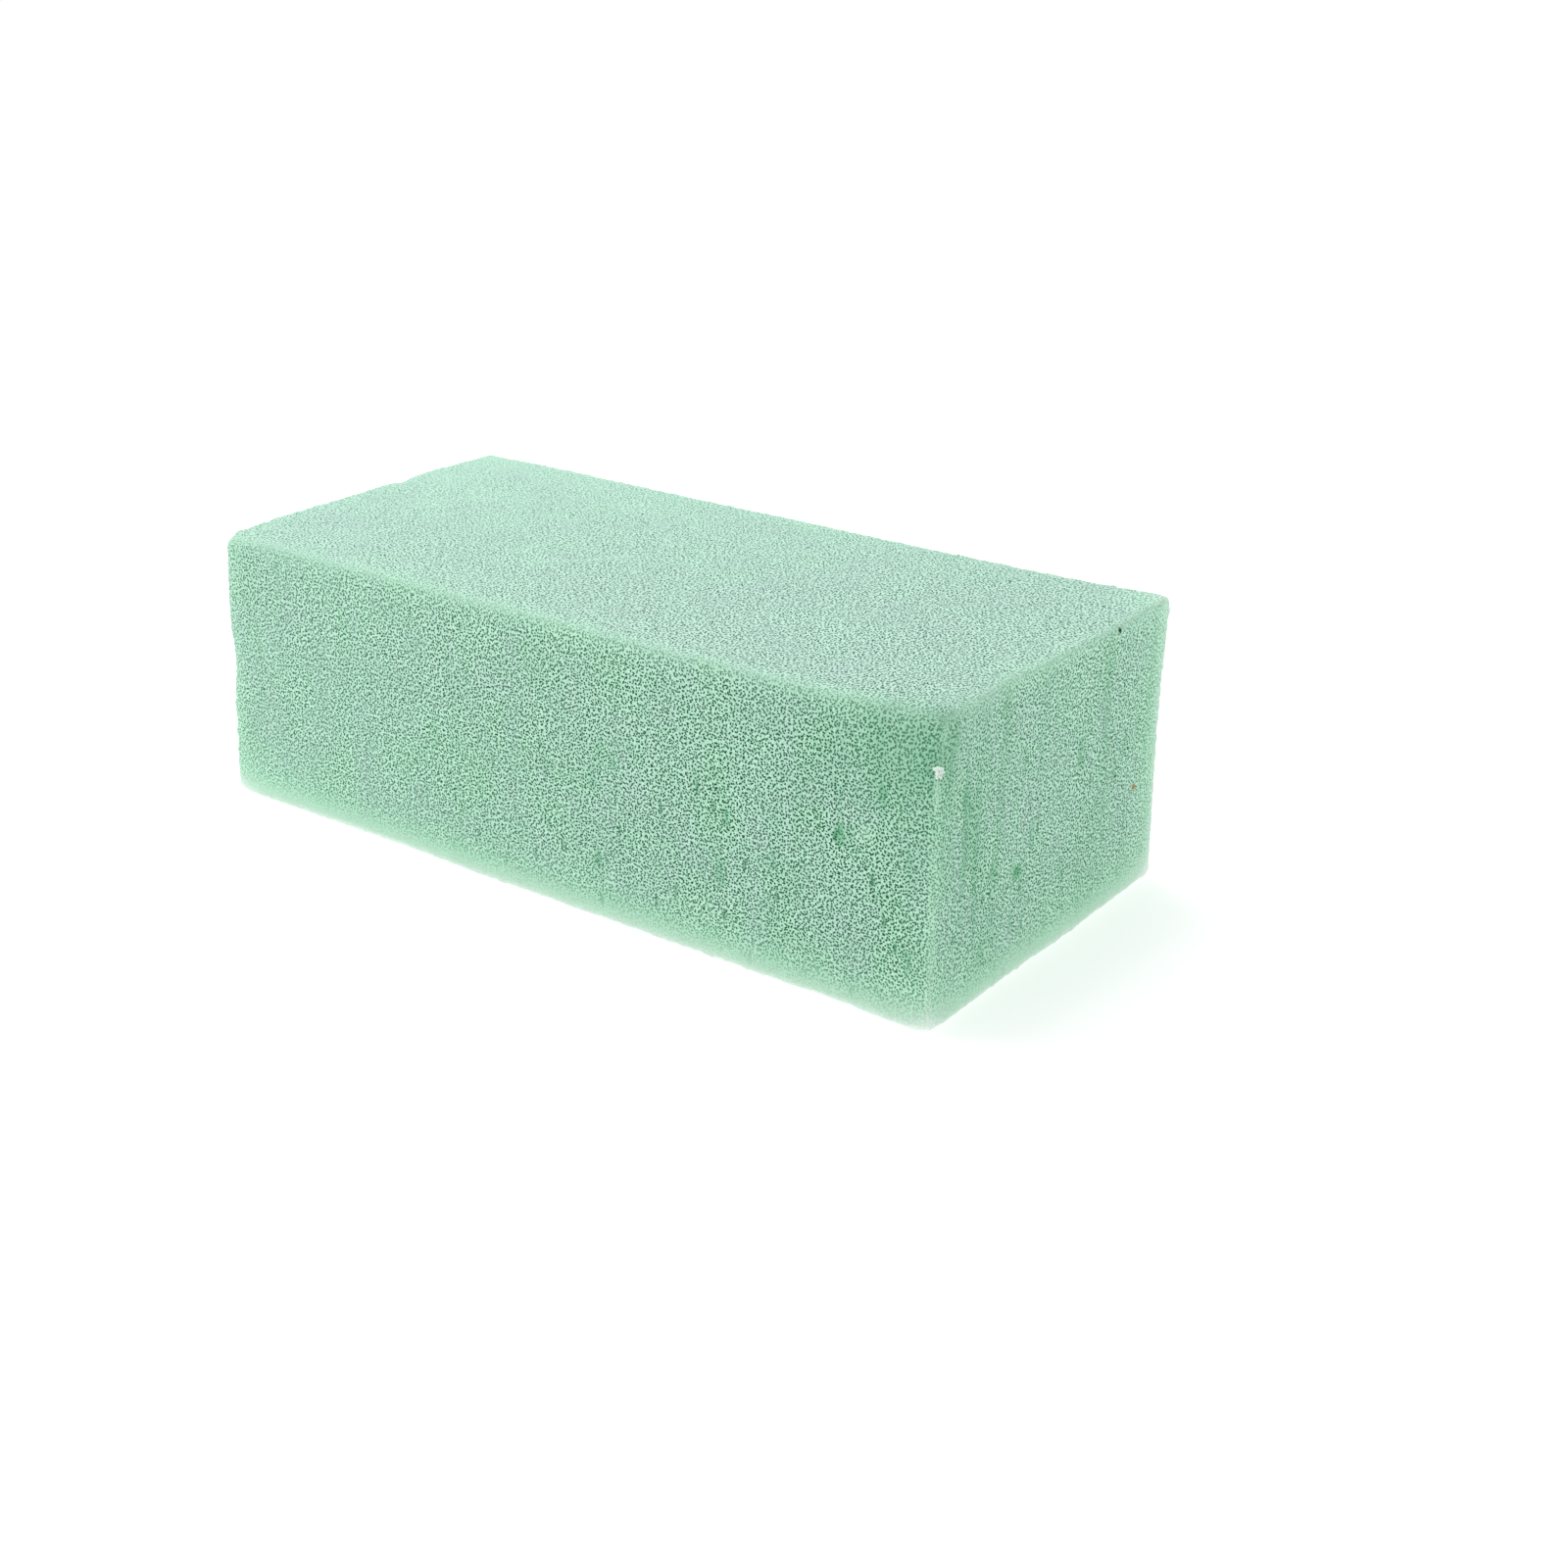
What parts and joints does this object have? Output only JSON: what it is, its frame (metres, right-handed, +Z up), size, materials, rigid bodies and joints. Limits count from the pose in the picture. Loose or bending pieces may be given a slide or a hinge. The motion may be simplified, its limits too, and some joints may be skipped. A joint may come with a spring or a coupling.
{
  "type": "floral foam brick",
  "caption": "Rectangular block of rigid open-cell floral foam, pale mint green, sawn flat on all six faces with softly worn edges, for holding cut flower stems.",
  "frame": {"origin": "middle of the base, on the surface that the brick rests on", "axes": "+X along the length, +Y across the width, +Z up through the height"},
  "size_m": [0.23, 0.106, 0.076],
  "materials": {
    "phenolic_foam": "fully matte, fine open-cell foam, slightly translucent at thin edges"
  },
  "bodies": {
    "root": {"foam_block": "phenolic_foam"}
  },
  "joints": []
}
